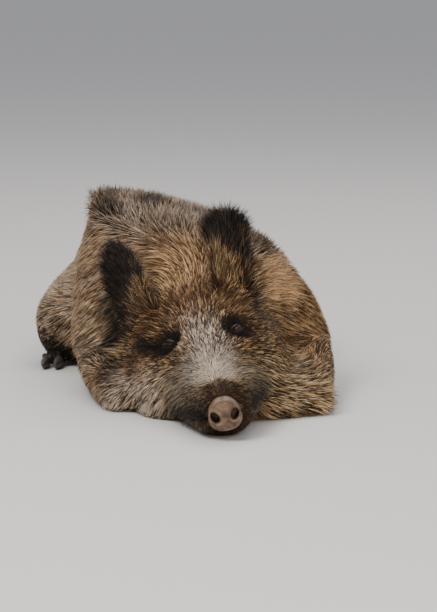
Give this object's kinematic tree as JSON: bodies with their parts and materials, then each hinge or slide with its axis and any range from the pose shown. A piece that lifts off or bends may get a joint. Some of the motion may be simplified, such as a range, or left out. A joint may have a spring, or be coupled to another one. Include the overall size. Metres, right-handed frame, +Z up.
{
  "type": "wild boar",
  "caption": "Still, life-size adult wild boar asleep on its chest with the chin on the floor, body rolled to its right and legs folded under.",
  "frame": {"origin": "on the floor, under the middle of the whole animal's box", "axes": "+Z up; the snout points along -Y and the tail along +Y; +X is the animal's left side"},
  "size_m": [0.613, 1.3214, 0.3932],
  "materials": {
    "body_coat": "coarse grizzled grey-brown bristle coat with straw-coloured tips and dark roots",
    "ear_coat": "short brown-black hair with a bristly fringe",
    "leg_coat": "short brown-black hair",
    "nose_skin": "bare, moist, fine-grained grey-brown skin",
    "eye": "wet dark brown eye",
    "hoof_horn": "worn grey-black horn, half matt"
  },
  "bodies": {
    "root": {"dewclaw_fore_left_inner": "hoof_horn", "dewclaw_fore_left_outer": "hoof_horn", "dewclaw_fore_right_inner": "hoof_horn", "dewclaw_fore_right_outer": "hoof_horn", "dewclaw_hind_left_inner": "hoof_horn", "dewclaw_hind_left_outer": "hoof_horn", "dewclaw_hind_right_inner": "hoof_horn", "dewclaw_hind_right_outer": "hoof_horn", "ear_left": "ear_coat", "ear_right": "ear_coat", "eye_left": "eye", "eye_right": "eye", "foreleg_left": "leg_coat", "foreleg_right": "leg_coat", "head": "body_coat", "hindleg_left": "leg_coat", "hindleg_right": "leg_coat", "hoof_fore_left_inner": "hoof_horn", "hoof_fore_left_outer": "hoof_horn", "hoof_fore_right_inner": "hoof_horn", "hoof_fore_right_outer": "hoof_horn", "hoof_hind_left_inner": "hoof_horn", "hoof_hind_left_outer": "hoof_horn", "hoof_hind_right_inner": "hoof_horn", "hoof_hind_right_outer": "hoof_horn", "neck": "body_coat", "snout_disc": "nose_skin", "tail": "leg_coat", "trunk": "body_coat"}
  },
  "joints": []
}
